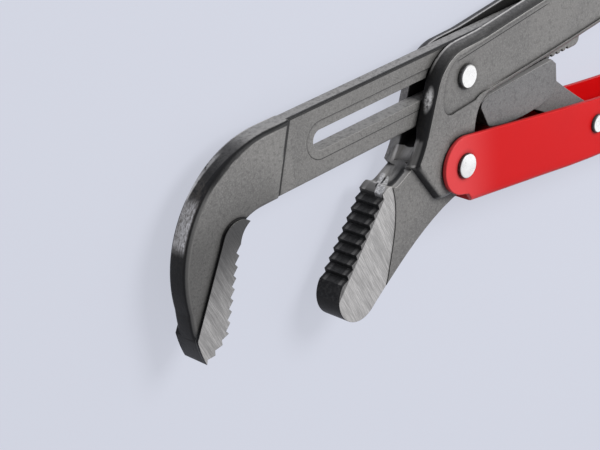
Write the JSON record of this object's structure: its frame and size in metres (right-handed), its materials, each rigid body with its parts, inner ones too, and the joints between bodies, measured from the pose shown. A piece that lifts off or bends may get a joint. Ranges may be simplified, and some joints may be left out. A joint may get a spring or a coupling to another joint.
{
  "type": "pipe wrench",
  "caption": "S-pattern pipe wrench with a sliding toothed hook jaw, fixed lower jaw in a long forged handle, and a squeeze lever that locks the jaw's rack.",
  "frame": {"origin": "centre of the flat end of the jaw pin's lower head", "axes": "+X along the hook jaw's shank, from the jaws to the handle's end; +Y in the plane of the jaws, from the squeeze lever to the handle; +Z through the wrench's thickness"},
  "size_m": [0.5828, 0.1359, 0.0285],
  "materials": {
    "forged_body": "satin grey phosphated forging",
    "forged_jaw": "satin grey phosphated forging",
    "forged_block": "satin grey",
    "hardened_steel": "ground",
    "bright_pin": "bright zinc",
    "spring_steel": "drawn wire",
    "red_lacquer": "glossy powder coat"
  },
  "bodies": {
    "body": {"handle_body": "forged_body", "jaw_pin": "bright_pin", "lever_pin": "bright_pin", "lever_spring": "spring_steel"},
    "slide_bush": {"guide_bush": "hardened_steel"},
    "jaw": {"hook_jaw": "forged_jaw"},
    "lever": {"squeeze_lever": "red_lacquer", "block_pin": "bright_pin", "block_spacer": "hardened_steel", "block_spring": "spring_steel"},
    "block": {"locking_block": "forged_block"}
  },
  "joints": [
    {"name": "jaw_tilt", "type": "hinge", "parent": "body", "child": "slide_bush", "pos_m": [0, 0, 0.01105], "axis": [0, 0, 1], "range_deg": [0, 4]},
    {"name": "jaw_slide", "type": "slide", "parent": "slide_bush", "child": "jaw", "axis": [1, 0, 0], "range_m": [-0.016, 0.056]},
    {"name": "lever_swing", "type": "hinge", "parent": "body", "child": "lever", "pos_m": [-0.007, -0.0382, 0.01105], "axis": [0, 0, 1], "range_deg": [-13, 2.3], "stiffness_Nm_per_rad": 2},
    {"name": "block_swing", "type": "hinge", "parent": "lever", "child": "block", "pos_m": [0.088, -0.053, 0.01105], "axis": [0, 0, 1], "range_deg": [0, 3], "stiffness_Nm_per_rad": 0.6, "deforming": ["block_spring"]}
  ]
}
